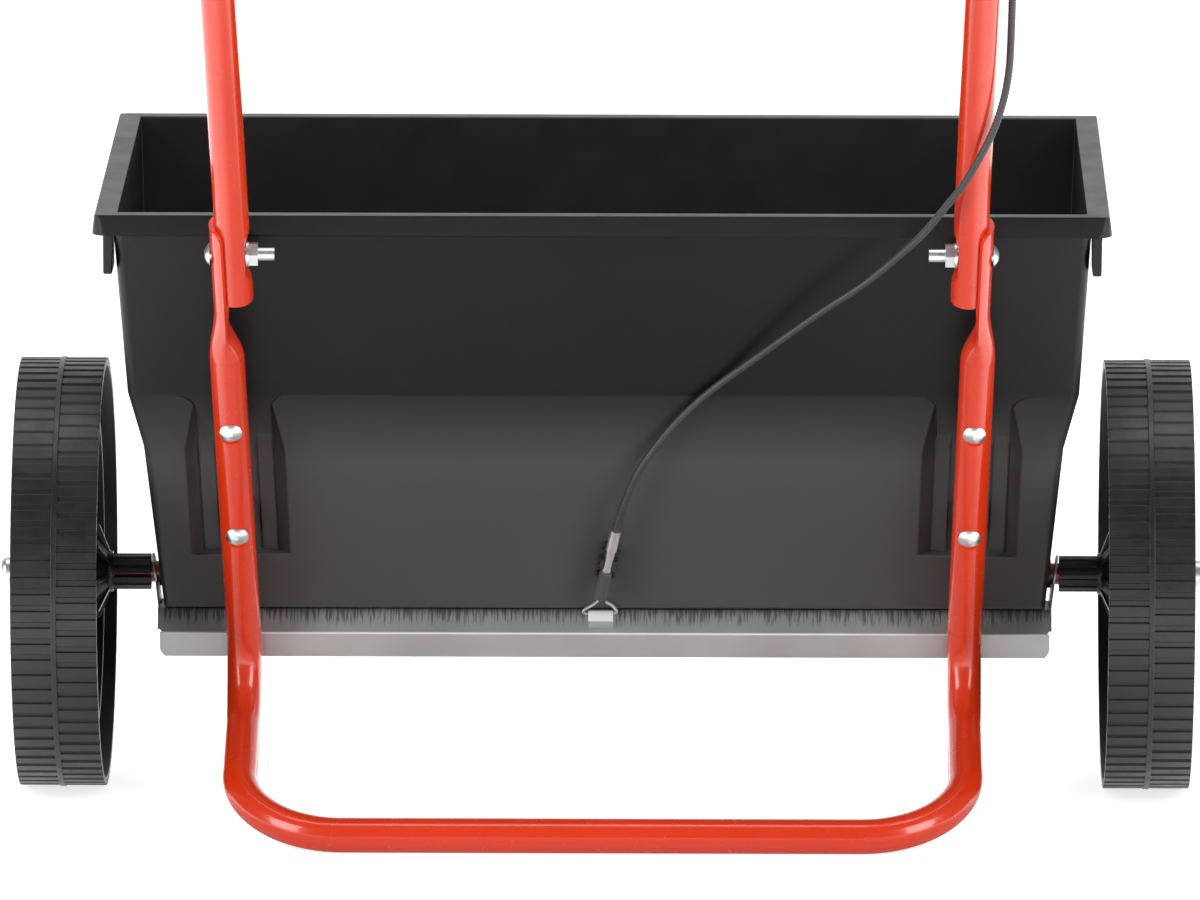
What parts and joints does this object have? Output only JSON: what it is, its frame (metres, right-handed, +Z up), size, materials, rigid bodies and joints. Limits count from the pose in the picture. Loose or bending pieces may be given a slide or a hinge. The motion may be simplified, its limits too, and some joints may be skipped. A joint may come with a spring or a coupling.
{
  "type": "drop spreader",
  "caption": "Push-along drop spreader: open V-shaped hopper on two wheels with agitator axle, swinging shutter, U-shaped tube stand, long handle and a dosing lever with cable.",
  "frame": {"origin": "on the floor, below the middle of the whole spreader's box", "axes": "+X to the right of the user who pushes it, along the axle; +Y forwards, the way it is pushed; +Z up"},
  "size_m": [0.563, 0.5852, 0.9839],
  "materials": {
    "hopper_plastic": "moulded, semi-matt black",
    "wheel_plastic": "moulded, matt black",
    "bush_plastic": "moulded, grey-black",
    "control_plastic": "moulded, fine grain",
    "orange_paint": "glossy powder coat",
    "red_paint": "painted shaft",
    "lever_plastic": "moulded, glossy",
    "foam": "closed-cell foam",
    "boot_rubber": "soft moulded",
    "zinc": "zinc plated",
    "galvanised": "galvanised sheet, scuffed",
    "spring_steel": "bright drawn wire",
    "cable_skin": "ribbed plastic sheath"
  },
  "bodies": {
    "base": {"hopper": "hopper_plastic", "axle_bushes": "bush_plastic", "stand_frame": "orange_paint", "handle_tube_left": "orange_paint", "handle_tube_right": "orange_paint", "upper_handle": "orange_paint", "foam_grip": "foam", "frame_bolts": "zinc", "frame_washers": "zinc", "frame_nuts": "zinc", "joint_bolts": "zinc", "joint_nuts": "zinc", "dose_housing": "control_plastic", "scale_cover": "control_plastic", "cover_screws": "zinc", "clamp_strap": "zinc", "clamp_screws": "zinc", "pivot_bolt": "zinc", "cable_adjuster": "zinc", "cable_sheath": "cable_skin", "cable_ferrule": "zinc", "cable_clip": "control_plastic", "return_spring": "spring_steel"},
    "drive_axle": {"axle": "red_paint", "agitator": "hopper_plastic", "drive_pin": "zinc", "axle_caps": "zinc", "axle_washers": "zinc", "wheel_left": "wheel_plastic"},
    "wheel_right": {"wheel_right": "wheel_plastic"},
    "shutter": {"shutter": "galvanised"},
    "cable_end": {"cable_core": "spring_steel", "cable_boot": "boot_rubber"},
    "cable_hook": {"cable_hook": "spring_steel"},
    "dosing_lever": {"dosing_lever": "lever_plastic", "lever_knob": "control_plastic", "cable_cam": "bush_plastic", "cable_nipple": "zinc"}
  },
  "joints": [
    {"name": "axle_spin", "type": "hinge", "parent": "base", "child": "drive_axle", "pos_m": [0, 0.1719, 0.1], "axis": [1, 0, 0], "continuous": true},
    {"name": "wheel_right_spin", "type": "hinge", "parent": "base", "child": "wheel_right", "pos_m": [0.25, 0.1719, 0.1], "axis": [1, 0, 0], "continuous": true},
    {"name": "lever_turn", "type": "hinge", "parent": "base", "child": "dosing_lever", "pos_m": [0.17832, -0.16862, 0.77792], "axis": [0, 0.9063, 0.4226], "range_deg": [0, 50]},
    {"name": "shutter_swing", "type": "hinge", "parent": "base", "child": "shutter", "pos_m": [0, 0.1719, 0.1], "axis": [1, 0, 0], "range_deg": [0, 17], "deforming": ["return_spring"]},
    {"name": "cable_pull", "type": "slide", "parent": "base", "child": "cable_end", "axis": [-0.1874, 0.4151, -0.8903], "range_m": [0, 0.00893]},
    {"name": "hook_swing", "type": "hinge", "parent": "cable_end", "child": "cable_hook", "pos_m": [-0.00172, 0.1357, 0.0969], "axis": [0.8588, -0.3053, -0.4115], "range_deg": [0, 9.93]}
  ],
  "couplings": [
    {"joint": "shutter_swing", "follows": "lever_turn", "ratio": 0.34},
    {"joint": "cable_pull", "follows": "lever_turn", "m_per_rad": 0.010225},
    {"joint": "hook_swing", "follows": "lever_turn", "ratio": 0.19853}
  ]
}
